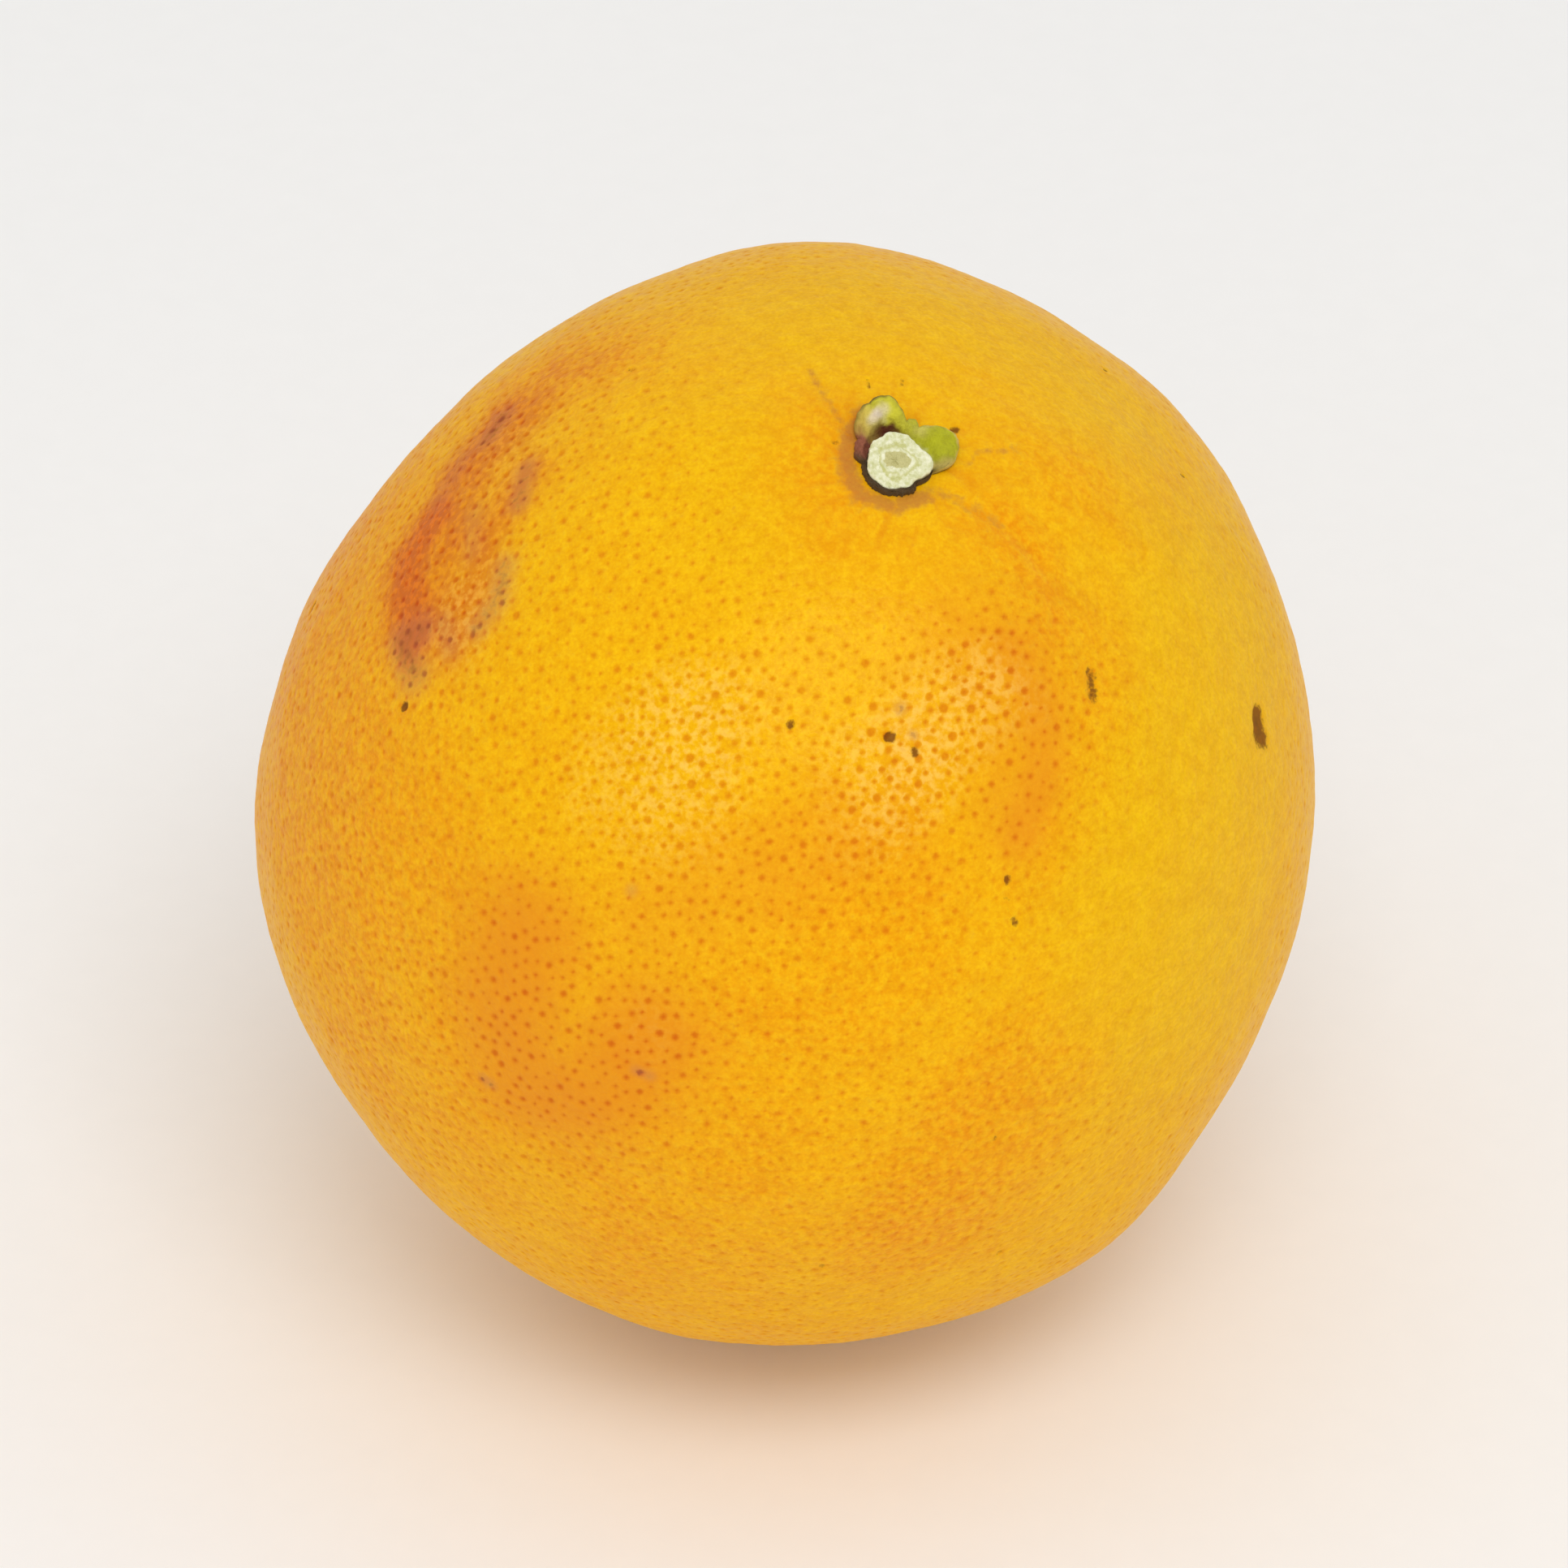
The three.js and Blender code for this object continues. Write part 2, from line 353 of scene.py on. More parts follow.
SCARS = (
    (((56.6, 200.8), (56.8, 200.8)), 0.6 * MM, 1.2),
    (((76.6, 172.2), (77.2, 172.6)), 0.55 * MM, 1.1),
    (((27.7, -86.4), (27.7, -86)), 0.62 * MM, 1.3),
    (((28.8, -81), (29.3, -80.8)), 0.5 * MM, 0.9),
    (((28.5, -106.7), (28.8, -106.7)), 0.55 * MM, 0.9),
    (((27.8, -37), (29.8, -40.2)), 0.95 * MM, 0.78),
    (((48.7, -12.4), (49.5, -14.2)), 1.5 * MM, 1.1),
    (((49.6, -14.9), (50.8, -14.2)), 1.7 * MM, 0.9),
    (((42.6, -66.4), (42.8, -66.4)), 0.7 * MM, 0.8),
    (((44.5, -66.8), (46, -66.4)), 0.8 * MM, 0.5),
    (((47.1, -65.9), (47.3, -65.9)), 0.7 * MM, 0.75),
    (((91.4, -84), (91.7, -84)), 0.6 * MM, 0.7),
    (((93.1, -64.4), (93.4, -64.4)), 0.5 * MM, 0.7),
    (((72.2, -68.4), (72.5, -68.4)), 0.45 * MM, 0.7),
    (((30.5, 149.8), (30.8, 149.8)), 0.5 * MM, 0.7),
    (((37.3, 22.7), (37.6, 22.7)), 0.45 * MM, 0.8),
    (((36.3, 46), (36.6, 46)), 0.4 * MM, 0.8),
    (((8.5, 44.8), (8.9, 44.8)), 0.6 * MM, 0.95),
    (((10.4, 103), (11.4, 102.6)), 0.35 * MM, 0.7),
    (((11, 85.3), (11.8, 85.3)), 0.35 * MM, 0.7),
    (((6.1, 154.6), (6.3, 154.6)), 0.5 * MM, 0.8),
)
WARM = (  # where the peel is most orange
    (((75, 203), (75, 189), (70, 172)), 24 * MM, 1.0),
    (((83, 214), (92, 222)), 18 * MM, 0.7),
    (((48, -85), (60, -95)), 14 * MM, 0.55),
    (((66, -66), (84, -76)), 12 * MM, 0.8),
    (((76, -96), (98, -104)), 20 * MM, 0.5),
    (((12, -21), (16, -23), (21, -34)), 5 * MM, 0.85),
    (((24, -25), (31, -39), (43, -62)), 5 * MM, 0.7),
    (((18, 10), (28, 8), (38, 14)), 7 * MM, 0.6),
    (((36, 148), (44, 150)), 9 * MM, 0.8),
    (((7, 150), (9, 190), (8, 230)), 6 * MM, 0.5),
)
LEMON = (  # where it is greenest
    (((40, 0), (45, -25), (50, -42), (62, -42)), 20 * MM, 1.0),
    (((24, 104), (28, 60), (31, 32)), 15 * MM, 0.75),
    (((18, 165), (16, 210)), 10 * MM, 0.55),
)
# The first two strokes are brown stain at the calyx; the last two follow the crease and the furrow
# and are painted shade in them.
STEM_STAIN_AND_CREASE_SHADE = (
    (
        ((7.3, 112), (5.8, 134), (4.8, 161), (4.4, 193), (4.6, 228), (4.1, 275), (4.3, 323)),
        1.1 * MM, 1.0,
    ),
    (((7.6, 14), (9.5, 24), (13.5, 22)), 0.5 * MM, 0.5),
    (((5, 138), (7.9, 132), (10.8, 128.5), (14.9, 123.4)), 0.45 * MM, 0.6),
    (((4.5, -16), (8, -21), (11.5, -20)), 0.8 * MM, 0.5),
)
# The strongest of these also marks where the peel material paints a highlight between the glands.
COARSE_SKIN = (  # where the glands stand out most
    (((25, -60), (32, -90), (36, -125)), 15 * MM, 1.0),
    (((58, -105), (72, -122)), 20 * MM, 0.55),
    (((45, 175), (48, 195)), 15 * MM, 0.8),
)
SMOOTH_SKIN = (  # and where they hardly show
    (((25, 20), (40, -10), (48, -32), (60, -40)), 17 * MM, 1.0),
    (((16, -20), (24, -30)), 8 * MM, 0.8),
    (((20, 110), (25, 60)), 14 * MM, 0.8),
)
LUMPY_SKIN = (((12, 60), (20, 20), (22, -5)), 9 * MM, 1.0)
FURROW = (((4, -14), (8, -20), (13, -20), (18, -25)), 0.9 * MM, 0.22 * MM)
CREASE = (((5.1, 138), (7.9, 132), (10.8, 128.5), (14.9, 123.4)), 0.4 * MM, 0.13 * MM)


def stem_rays(surface):
    """Fine wrinkles that run out from the stem: 1 in their dips, 0 on their tops and elsewhere."""
    beside_stem = smooth_step(surface.out, 3.5 * MM, 6 * MM)
    beside_stem *= 1 - smooth_step(surface.out, 6 * MM, 14 * MM)
    waver = surface.rough(6 * MM, 3)
    rays = np.cos(11 * surface.turn + 5 * waver) + 0.8 * np.cos(29 * surface.turn + 11 * waver)
    return np.clip(rays * (0.6 + surface.rough(3 * MM, 7)), 0, 1) * beside_stem


def skin_relief(surface, pits, coarse, scars, rays):
    """How far each place on the skin stands off its smooth shape."""
    lift = -RAY_DEPTH * rays
    lift -= GLAND_DEPTH * pits * coarse
    for height, wavelength, seed in RIPPLES:
        lift += height * surface.rough(wavelength, seed)
    height, wavelength, seed = LUMPS
    lift += height * surface.rough(wavelength, seed) * surface.stroke(*LUMPY_SKIN)
    lift -= surface.stroke(*FURROW) + surface.stroke(*CREASE)
    return lift - SCAR_DEPTH * smooth_step(scars, 0.35, 0.9)


def blossom_scar(surface):
    """The small dry disc opposite the stem: how much of it is at each vertex, and its relief."""
    out = np.radians(180 - surface.off_stem) * stem_reach
    ragged = out * (1 + 0.12 * surface.rough(2.5 * MM, 21))
    disc = 1 - smooth_step(ragged, 1.5 * MM, 2.3 * MM)
    rim = bell((ragged - 2.7 * MM) / (0.7 * MM))
    return disc, BLOSSOM_RIM_HEIGHT * rim - BLOSSOM_DISC_DEPTH * disc


def skin():
    """The peel, with every gland and mark on it."""
    surface = Surface(skin_mesh())
    pits, ink = glands(surface)
    coarse = 0.6 + 0.4 * surface.strokes(COARSE_SKIN) - 0.46 * surface.strokes(SMOOTH_SKIN)
    coarse += 0.18 * surface.rough(12 * MM, 5)
    coarse = np.clip(coarse, 0.12, 1.1) * (0.3 + 0.7 * smooth_step(surface.out, 7 * MM, 20 * MM))
    scars, rays = surface.strokes(SCARS), stem_rays(surface)
    disc, disc_lift = blossom_scar(surface)
    painted = {
        "gland": pits * coarse * ink,
        "coarse": coarse,
        "scar": np.maximum(scars, 0.9 * disc),
        "blush": surface.strokes(BLUSH),
        "streak": surface.strokes(STREAK),
        "bruise": surface.strokes(BRUISE),
        "warm": surface.strokes(WARM),
        "lemon": surface.strokes(LEMON),
        "stain_and_crease_shade": surface.strokes(STEM_STAIN_AND_CREASE_SHADE),
        "ray_dip_shade": rays,
    }
    for name, values in painted.items():
        surface.paint(name, values)
    surface.move(skin_relief(surface, pits, coarse, scars, rays) + disc_lift)
    return piece("grapefruit_skin", surface.mesh, "fruit", peel_material())


# ---- The calyx and the stub ----

TURNS = [2 * math.pi * i / BUTTON_CELLS for i in range(BUTTON_CELLS)]


def ring_mesh(name, rows, closed):
    """A mesh through rows of points that each run once round.

    A closed one joins its last row to its first. In an open one the two end rows are each drawn in
    to a point.
    """
    rows = np.array(rows)
    index = np.arange(rows.shape[0] * BUTTON_CELLS).reshape(rows.shape[0], BUTTON_CELLS)
    below, above = (index, np.roll(index, -1, 0)) if closed else (index[:-1], index[1:])
    quads = np.stack((below, np.roll(below, -1, 1), np.roll(above, -1, 1), above), -1)
    faces = quads.reshape(-1, 4).tolist()
    points = rows.reshape(-1, 3).tolist()
    if not closed:
        for ring, order in ((index[0], -1), (index[-1], 1)):
            points.append(rows.reshape(-1, 3)[ring].mean(axis=0).tolist())
            pairs = zip(ring.tolist(), np.roll(ring, -1).tolist())
            faces += [(a, b, len(points) - 1)[::order] for a, b in pairs]
    mesh = bpy.data.meshes.new(name)
    mesh.from_pydata(points, [], faces)
    mesh.update()
    return mesh


def wobble(turn, height, seed, size):
    """Raggedness round the stem, from -1 to 1, with more bumps to the turn for a larger size."""
    across, away = math.cos(turn) * size, math.sin(turn) * size
    return noise.noise(Vector((across, away, height * size + seed)))


def stub_outline(turn):
    """The stub's radius at a turn: a little ribbed, and torn wider beside the whole sepal."""
    torn = 0.95 * MM * bell(turn_from(turn, 2) / 0.42)
    return STUB_RADIUS * (1 + 0.07 * wobble(turn, 0, 3, 2.4) + 0.02 * math.cos(7 * turn)) + torn


def stub():
    """A short peg with bark on its side and a slanted cut face that shows its rings."""
    side = [(1.0, k / 9) for k in range(9)] + [(0.985, 0.96), (0.955, 1.0)]
    face = [(0.955 * (1 - k / 26), 1.0) for k in range(1, 26)]
    slope = math.tan(math.radians(CUT_SLANT))
    rows = []
    for share, level in side + face:
        row = []
        for turn in TURNS:
            out = stub_outline(turn) * share
            top = STUB_HEIGHT - slope * out * math.cos(turn - math.radians(CUT_HEADING))
            worn = 0.12 * MM * wobble(turn, share, 8, 3 + 5 * share)
            top += worn + 0.03 * MM * math.cos(28 * share)
            bark = 0.08 * MM * wobble(turn, level, 15, 9) * (level < 1)
            row.append(near_stem(out + bark, turn, top * level))
        rows.append(row)
    surface = Surface(ring_mesh("stem_stub", rows, closed=False))
    shares, levels = (np.repeat(values, BUTTON_CELLS) for values in zip(*(side + face)))
    # The last two values are for the points that the end rows are drawn in to.
    surface.paint("share", np.append(shares, (0, 0)))
    surface.paint("bark", 1 - smooth_step(np.append(levels, (0, 1)), 0.7, 1.0))
    return piece("cut_stem", surface.mesh, "stem_stub", cut_stem_material())


def sepal_share(turn, sepal):
    """How much of a sepal there is at a turn: 1 along its middle, 0 past its edges."""
    beside = np.minimum(np.abs(turn_from(turn, sepal[0])) / math.radians(sepal[3]), 1)
    return np.cos(beside * math.pi / 2) ** 2


def calyx_rim(turn):
    """How far the calyx runs out at a turn, and how far it curls up off the skin there."""
    reach, curl = COLLAR_REACH, 0.0
    for sepal in SEPALS:
        share = sepal_share(turn, sepal)
        reach += (sepal[1] - COLLAR_REACH) * share ** 0.36
        curl += sepal[2] * share ** 0.65
    reach += (0.2 * wobble(turn, 0, 5, 5.5) + 0.13 * wobble(turn, 0, 9, 14)) * MM
    return max(reach, stub_outline(turn) + COLLAR_WALL), curl


def calyx_colours(turn, share):
    """The calyx's colours, with a painted highlight and a painted shadow on the back sepal: each
    layer is how much of it there is at each vertex, and its colour.
    """
    right, back, mauve = (sepal_share(turn, sepal) for sepal in SEPALS[:3])
    beside_right, beside_back = turn_from(turn, SEPALS[0][0]), turn_from(turn, SEPALS[1][0])
    bridge = bell(turn_from(turn, 57) / 0.45)

    def out_from(low, high):
        return smooth_step(share, low, high)

    layers = (
        (np.ones_like(turn), srgb(84, 64, 36)),
        (mauve ** 0.5, srgb(158, 92, 66)),
        (bridge, srgb(196, 192, 62)),
        (right ** 0.4, srgb(186, 186, 8)),
        (right ** 0.4 * (1 - out_from(0.1, 0.3)), srgb(222, 224, 150)),
        (right * out_from(0.35, 0.6) * bell((beside_right - 0.4) / 0.13), srgb(238, 222, 128)),
        (right ** 0.5 * smooth_step(-beside_right, 0.3, 0.5), srgb(236, 204, 128)),
        (right ** 0.4 * out_from(0.9, 0.99), srgb(216, 190, 96)),
        (back ** 0.4, srgb(214, 206, 44)),
        (back ** 0.4 * smooth_step(beside_back, 0.05, 0.5), srgb(226, 196, 92)),
        # A painted highlight on the lit front of the back sepal's bulge.
        (
            back * bell((share - 0.56) / 0.12) * bell((beside_back - 0.2) / 0.16),
            srgb(232, 214, 204),
        ),
        (back ** 0.4 * out_from(0.84, 0.97), srgb(112, 94, 22)),
        # Maroon at the foot of the back and mauve sepals: torn brown tissue, and on the back sepal
        # also painted shadow in the dip below its bulge.
        (np.maximum(back, mauve * 0.6) ** 0.4 * (1 - out_from(0.34, 0.46)), srgb(96, 38, 16)),
    )
    colours = np.zeros((len(turn), 4))
    for amount, colour in layers:
        colours += (np.array(colour) - colours) * np.clip(amount, 0, 1)[:, None]
    return colours


def calyx():
    """A collar round the stub that runs out into five sepals, two whole and three torn short."""
    shares = np.linspace(0, 1, SEPAL_CELLS + 1)
    section = [(share, 0) for share in shares] + [(share, 1) for share in shares[::-1]]
    rims = [calyx_rim(turn) for turn in TURNS]
    rows = []
    for share, is_top in section:
        row = []
        for turn, (reach, curl) in zip(TURNS, rims):
            inner = stub_outline(turn) + STUB_GAP
            thick = COLLAR_HEIGHT * (1 - share) + RIM_THICKNESS * share
            thick *= math.sqrt(max(1 - share ** 6, 0.02))
            thick *= 1 - 0.6 * bell((share - 0.28) / 0.14) * sepal_share(turn, SEPALS[1])
            bumps = 0.2 * MM * wobble(turn, share * 0.8, 12, 6)
            bumps += 0.07 * MM * wobble(turn, share * 2, 31, 16)
            under = 0.8 * curl * share ** 2
            over = curl * smooth_step(share, 0.15, 0.7) + thick + bumps * (0.3 + share)
            height = max(over, under + LEAST_THICKNESS) if is_top else under
            row.append(near_stem(inner + (reach - inner) * share, turn, height + SKIN_GAP))
        rows.append(row)
    surface = Surface(ring_mesh("calyx", rows, closed=True))
    turn = np.tile(TURNS, len(section))
    share = np.repeat([share for share, _ in section], BUTTON_CELLS)
    ragged = share + 0.07 * surface.rough(0.6 * MM, 41)
    surface.paint("tissue_and_painted_light", calyx_colours(turn + 0.12 * surface.rough(1.2 * MM, 43), ragged))
    surface.paint("is_top", np.repeat([is_top for _, is_top in section], BUTTON_CELLS))
    return piece("calyx_button", surface.mesh, "calyx", calyx_material())


# ---- Materials ----


class Nodes:
    """Builds one procedural material, node by node."""

    def __init__(self, name, **shader_values):
        self.material = bpy.data.materials.new(name)
        self.material.use_nodes = True
        self.tree = self.material.node_tree
        self.shader = self.tree.nodes["Principled BSDF"]
        for socket, value in shader_values.items():
            self.shader.inputs[socket.replace("_", " ")].default_value = value
        self.places = self.tree.nodes.new("ShaderNodeTexCoord").outputs["Object"]

    def put(self, socket, value):
        """Links a socket to another's output, or sets its own value."""
        if isinstance(value, bpy.types.NodeSocket):
            self.tree.links.new(value, socket)
        else:
            socket.default_value = value

    def painted(self, name, output="Fac"):
        node = self.tree.nodes.new("ShaderNodeAttribute")
        node.attribute_name = name
        return node.outputs[output]

    def noise(self, size, detail=3.0, seed=0.0):
        """Noise from 0 to 1 with features of about that size."""
        node = self.tree.nodes.new("ShaderNodeTexNoise")
        node.noise_dimensions = "4D"
        node.inputs["W"].default_value = seed
        node.inputs["Scale"].default_value = 1 / size
        node.inputs["Detail"].default_value = detail
        self.put(node.inputs["Vector"], self.places)
        return node.outputs["Fac"]

    def edge_on(self):
        """0 where the surface faces the eye, 1 where it is seen edge on."""
        return self.tree.nodes.new("ShaderNodeLayerWeight").outputs["Facing"]

    def maths(self, operation, first, second=0.0, third=0.0, clamp=False):
        node = self.tree.nodes.new("ShaderNodeMath")
        node.operation = operation
        node.use_clamp = clamp
        for socket, value in zip(node.inputs, (first, second, third)):
            self.put(socket, value)
        return node.outputs["Value"]

    def times(self, first, second):
        return self.maths("MULTIPLY", first, second)

    def plus(self, first, second):
        return self.maths("ADD", first, second)

    def swing(self, value, amount):
        """Carries 0 to 1 onto a swing of that amount, half of it below 0."""
        return self.maths("MULTIPLY_ADD", value, amount, -amount / 2)

    def between(self, value, low, high, from_value=0.0, to_value=1.0):
        """Carries value smoothly from one range to another."""
        node = self.tree.nodes.new("ShaderNodeMapRange")
        node.interpolation_type = "SMOOTHSTEP"
        for socket, number in zip(node.inputs, (value, low, high, from_value, to_value)):
            self.put(socket, number)
        return node.outputs["Result"]

    def mix(self, share, first, second, blend="MIX"):
        node = self.tree.nodes.new("ShaderNodeMix")
        node.data_type = "RGBA"
        node.blend_type = blend
        factor, a, b = (socket for socket in node.inputs if socket.enabled)
        for socket, value in ((factor, share), (a, first), (b, second)):
            self.put(socket, value)
        return next(socket for socket in node.outputs if socket.enabled)

    def finish(self, colour, roughness, height, depth):
        """Links the shader's colour and roughness, and its normal to a bump of that depth."""
        bump = self.tree.nodes.new("ShaderNodeBump")
        bump.inputs["Distance"].default_value = depth
        self.put(bump.inputs["Height"], height)
        self.put(self.shader.inputs["Normal"], bump.outputs["Normal"])
        self.put(self.shader.inputs["Base Color"], colour)
        self.put(self.shader.inputs["Roughness"], roughness)
        return self.material


def peel_material():
    nodes = Nodes("peel", Specular_Tint=srgb(255, 242, 150))
    mottle = nodes.noise(9 * MM, 4, seed=1)
    patch = nodes.noise(3 * MM, 3, seed=2)
    fleck = nodes.noise(0.8 * MM, 3, seed=3)
    grain = nodes.noise(0.3 * MM, 2, seed=4)
    curd = nodes.noise(1.7 * MM, 2, seed=14)

    # The ground colour runs from lemon yellow to orange.
    warm = nodes.plus(nodes.painted("warm"), nodes.swing(mottle, 0.9))
    colour = nodes.mix(nodes.between(warm, -0.15, 1.0), srgb(244, 185, 3), srgb(240, 154, 2))
    lemon = nodes.plus(nodes.painted("lemon"), nodes.swing(patch, 0.7))
    colour = nodes.mix(nodes.between(lemon, 0.1, 1.1), colour, srgb(237, 186, 3))
    colour = nodes.mix(nodes.between(fleck, 0.3, 0.7, 0.0, 0.55), colour, srgb(252, 204, 18))
    for speckle, most in ((grain, 0.42), (curd, 0.3)):
        shade = nodes.between(speckle, 0.3, 0.7, most, 0.0)
        colour = nodes.mix(shade, colour, srgb(236, 206, 150), blend="MULTIPLY")
    # The dips of the fine wrinkles round the stem are painted darker orange: painted shade in the
    # dips.
    colour = nodes.mix(nodes.times(nodes.painted("ray_dip_shade"), 0.4), colour, srgb(226, 132, 6))

    # The blush and the red streak, both with a ragged edge.
    ragged = nodes.plus(nodes.swing(patch, 0.4), nodes.swing(curd, 0.3))
    blush = nodes.between(nodes.plus(nodes.painted("blush"), ragged), 0.0, 1.35)
    colour = nodes.mix(nodes.times(blush, 0.8), colour, srgb(229, 134, 24))
    streak = nodes.between(nodes.plus(nodes.painted("streak"), ragged), 0.05, 1.05)
    colour = nodes.mix(nodes.times(streak, 0.85), colour, srgb(226, 104, 14))
    gritty = nodes.times(streak, nodes.between(fleck, 0.42, 0.62, 0.5, 0.0))
    colour = nodes.mix(gritty, colour, srgb(184, 88, 24))

    # Glands are darker than the skin between them, and most of all in the blush.
    in_pore = nodes.between(nodes.painted("gland"), 0.0, 0.65)
    colour = nodes.mix(in_pore, colour, srgb(239, 204, 174), blend="MULTIPLY")
    reddened = nodes.times(in_pore, nodes.maths("MAXIMUM", blush, streak))
    colour = nodes.mix(reddened, colour, srgb(246, 228, 220), blend="MULTIPLY")

    # Where the glands are coarsest, the peel between them is painted pale cream: a painted
    # highlight on the bumps between the glands.
    painted_highlight = nodes.between(nodes.painted("coarse"), 0.84, 1.08)
    painted_highlight = nodes.times(painted_highlight, nodes.between(fleck, 0.4, 0.65))
    painted_highlight = nodes.times(painted_highlight, nodes.between(in_pore, 0.0, 0.5, 0.4, 0.0))
    colour = nodes.mix(painted_highlight, colour, srgb(255, 212, 118))

    # Bruises keep to the glands and a few patches.
    bruise = nodes.painted("bruise")
    tinged = nodes.times(nodes.between(bruise, 0.05, 0.9), 0.3)
    colour = nodes.mix(tinged, colour, srgb(180, 112, 82))
    bruised = nodes.plus(nodes.swing(fleck, 1.6), nodes.times(in_pore, 0.4))
    bruised = nodes.between(nodes.plus(bruise, bruised), 0.75, 1.3)
    colour = nodes.mix(nodes.times(bruised, 0.5), colour, srgb(124, 66, 48))
    # Brown stain round the calyx, and painted shade along the crease and the furrow.
    stain_and_crease_shade = nodes.between(nodes.plus(nodes.painted("stain_and_crease_shade"), nodes.swing(fleck, 1.6)), 0.15, 1.0)
    colour = nodes.mix(nodes.times(stain_and_crease_shade, 0.62), colour, srgb(176, 96, 54))
    broken = nodes.plus(nodes.swing(grain, 0.6), nodes.swing(fleck, 0.8))
    scar = nodes.between(nodes.plus(nodes.painted("scar"), broken), 0.45, 0.85)
    dry = nodes.mix(fleck, srgb(64, 30, 12), srgb(150, 82, 22))
    colour = nodes.mix(nodes.times(scar, 0.9), colour, dry)

    # The wax is too rough on its fine scale to shine where it is seen edge on.
    gloss = nodes.between(nodes.edge_on(), 0.15, 0.75, 0.2, 0.03)
    nodes.put(nodes.shader.inputs["Specular IOR Level"], gloss)
    dull = nodes.maths("MULTIPLY_ADD", in_pore, 0.25, 0.34)
    dull = nodes.plus(dull, nodes.times(nodes.maths("MAXIMUM", bruised, scar), 0.3))
    roughness = nodes.maths("ADD", dull, nodes.swing(fleck, 0.2), clamp=True)
    height = nodes.plus(nodes.times(fleck, 0.7), nodes.times(grain, 0.3))
    return nodes.finish(colour, roughness, height, 0.11 * MM)


def calyx_material():
    nodes = Nodes("calyx", Specular_IOR_Level=0.3)
    blotch = nodes.noise(0.9 * MM, 4, seed=5)
    grain = nodes.noise(0.22 * MM, 3, seed=6)
    shade = nodes.mix(nodes.between(blotch, 0.3, 0.7), srgb(226, 222, 212), srgb(255, 255, 255))
    colour = nodes.mix(1.0, nodes.painted("tissue_and_painted_light", "Color"), shade, blend="MULTIPLY")
    colour = nodes.mix(nodes.between(grain, 0.55, 0.75, 0.0, 0.25), colour, srgb(120, 96, 40))
    colour = nodes.mix(nodes.between(nodes.painted("is_top"), 0.2, 0.8), srgb(112, 98, 38), colour)
    roughness = nodes.maths("MULTIPLY_ADD", grain, 0.3, 0.5)
    return nodes.finish(colour, roughness, nodes.plus(blotch, grain), 0.12 * MM)


def cut_stem_material():
    nodes = Nodes("cut_stem", Specular_IOR_Level=0.25)
    fibre = nodes.noise(0.5 * MM, 4, seed=8)
    grain = nodes.noise(0.15 * MM, 3, seed=9)
    blotch = nodes.noise(1.4 * MM, 2, seed=15)
    uneven = nodes.plus(nodes.swing(fibre, 0.3), nodes.swing(blotch, 0.7))
    from_pith = nodes.plus(nodes.painted("share"), uneven)
    wood = nodes.mix(nodes.between(fibre, 0.3, 0.7), srgb(206, 206, 150), srgb(242, 240, 208))
    pith = nodes.mix(grain, srgb(178, 172, 104), srgb(214, 206, 150))
    colour = nodes.mix(nodes.between(from_pith, 0.36, 0.44), pith, wood)
    ring = nodes.between(from_pith, 0.5, 0.58)
    ring = nodes.times(ring, nodes.between(from_pith, 0.6, 0.7, 1.0, 0.0))
    colour = nodes.mix(nodes.times(ring, 0.55), colour, srgb(184, 182, 84))
    bark = nodes.mix(fibre, srgb(50, 40, 22), srgb(122, 110, 66))
    colour = nodes.mix(nodes.painted("bark"), colour, bark)
    roughness = nodes.maths("MULTIPLY_ADD", grain, 0.25, 0.6)
    return nodes.finish(colour, roughness, nodes.plus(fibre, grain), 0.1 * MM)


def floor_material():
    nodes = Nodes("floor", Specular_IOR_Level=0.2)
    speck = nodes.noise(4 * MM, 3, seed=12)
    colour = nodes.mix(speck, srgb(247, 246, 244), srgb(250, 249, 247))
    roughness = nodes.maths("MULTIPLY_ADD", speck, 0.1, 0.7)
    return nodes.finish(colour, roughness, speck, 0.02 * MM)


# ---- Pieces, stage, lights and camera ----


def piece(name, mesh, node, material):
    """Shows a fine mesh in place of a CAD node."""
    mesh.materials.clear()
    mesh.materials.append(material)
    mesh.polygons.foreach_set("use_smooth", [True] * len(mesh.polygons))
    made = bpy.data.objects.new(name, mesh)
    bpy.context.scene.collection.objects.link(made)
    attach(made, "root")
    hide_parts(node)
    return made


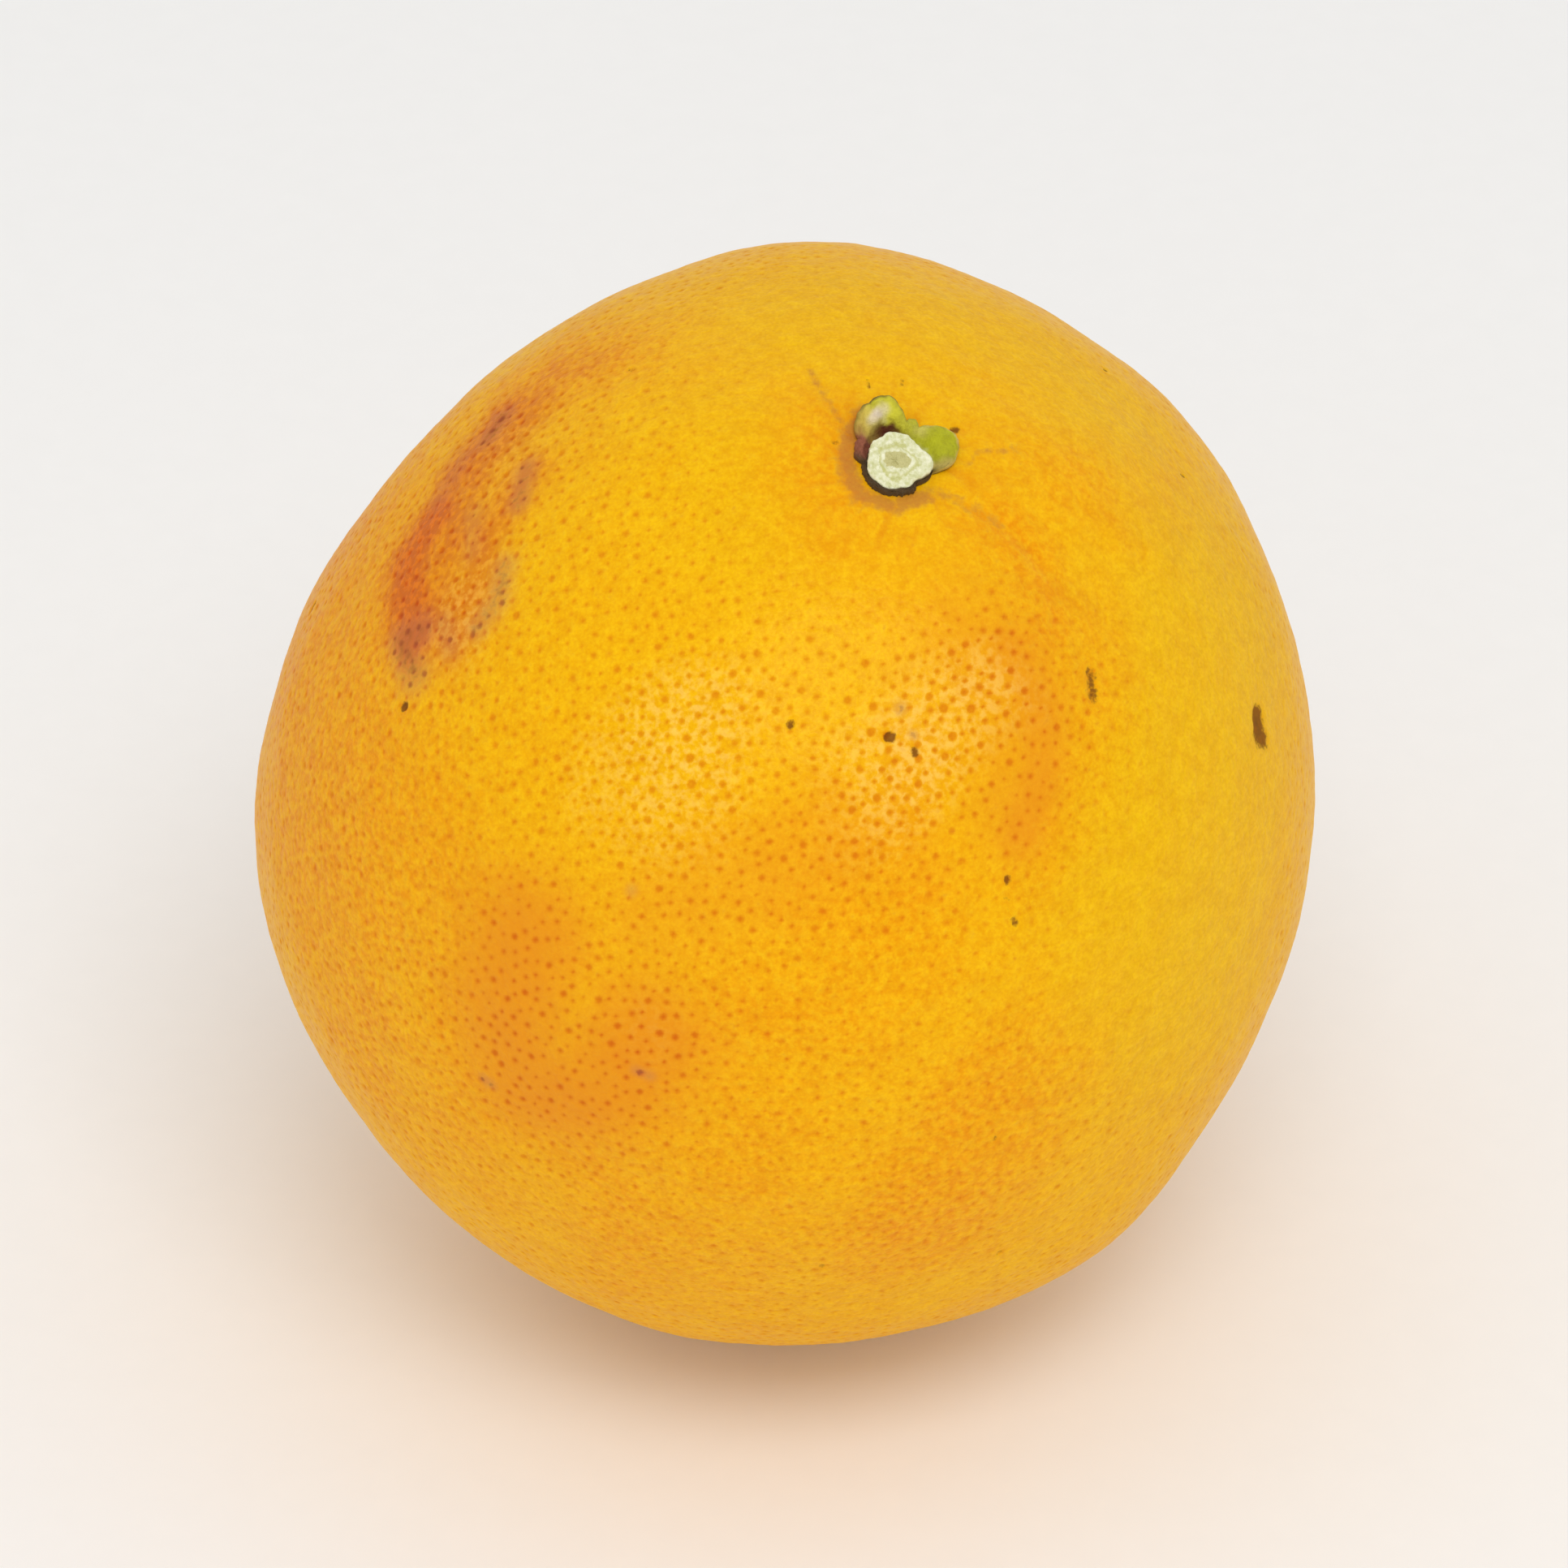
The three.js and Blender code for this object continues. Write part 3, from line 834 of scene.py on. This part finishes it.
def floor():
    """A round pale floor, a hair lower than what the fruit rests on."""
    turns = [2 * math.pi * k / FLOOR_SIDES for k in range(FLOOR_SIDES)]
    rim = [(FLOOR_RADIUS * math.cos(turn), FLOOR_RADIUS * math.sin(turn), 0) for turn in turns]
    mesh = bpy.data.meshes.new("floor")
    mesh.from_pydata(rim, [], [range(FLOOR_SIDES)])
    mesh.materials.append(floor_material())
    made = bpy.data.objects.new("floor", mesh)
    made.location.z = -FLOOR_GAP
    bpy.context.scene.collection.objects.link(made)


def look_from(target, azimuth, elevation, distance):
    """Where something stands to look at a target, and its turn. Azimuth 0 looks along +Y."""
    turn, rise = math.radians(azimuth), math.radians(elevation)
    level = math.cos(rise)
    back = Vector((math.sin(turn) * level, -math.cos(turn) * level, math.sin(rise)))
    return target + back * distance, (-back).to_track_quat("-Z", "Y").to_euler()


def softbox(name, azimuth, elevation, distance, width, height, watts):
    lamp = bpy.data.lights.new(name, "AREA")
    lamp.shape = "RECTANGLE"
    lamp.size = width
    lamp.size_y = height
    lamp.energy = watts
    made = bpy.data.objects.new(name, lamp)
    made.location, made.rotation_euler = look_from(middle(cad_box), azimuth, elevation, distance)
    made.visible_camera = False
    bpy.context.scene.collection.objects.link(made)


def studio():
    """Soft white light from all round, a large softbox above and in front, and a low front fill."""
    world = bpy.data.worlds.new("studio")
    world.use_nodes = True
    background = world.node_tree.nodes["Background"]
    background.inputs["Color"].default_value = srgb(255, 255, 255)
    background.inputs["Strength"].default_value = WORLD_STRENGTH
    bpy.context.scene.world = world
    softbox("key", azimuth=12, elevation=56, distance=0.9, width=0.46, height=0.32, watts=2.15)
    softbox("fill", azimuth=-20, elevation=12, distance=1.2, width=1.4, height=0.6, watts=0.9)
    bpy.context.scene.view_settings.view_transform = "Standard"


def camera():
    lens = bpy.data.cameras.new("camera")
    lens.lens = LENS_MM
    made = bpy.data.objects.new("camera", lens)
    place, turn = look_from(middle(cad_box), 0, CAMERA_ELEVATION, CAMERA_DISTANCE)
    made.location, made.rotation_euler = place, turn
    bpy.context.scene.collection.objects.link(made)
    bpy.context.scene.camera = made


camera()
studio()
floor()
skin()
calyx()
stub()
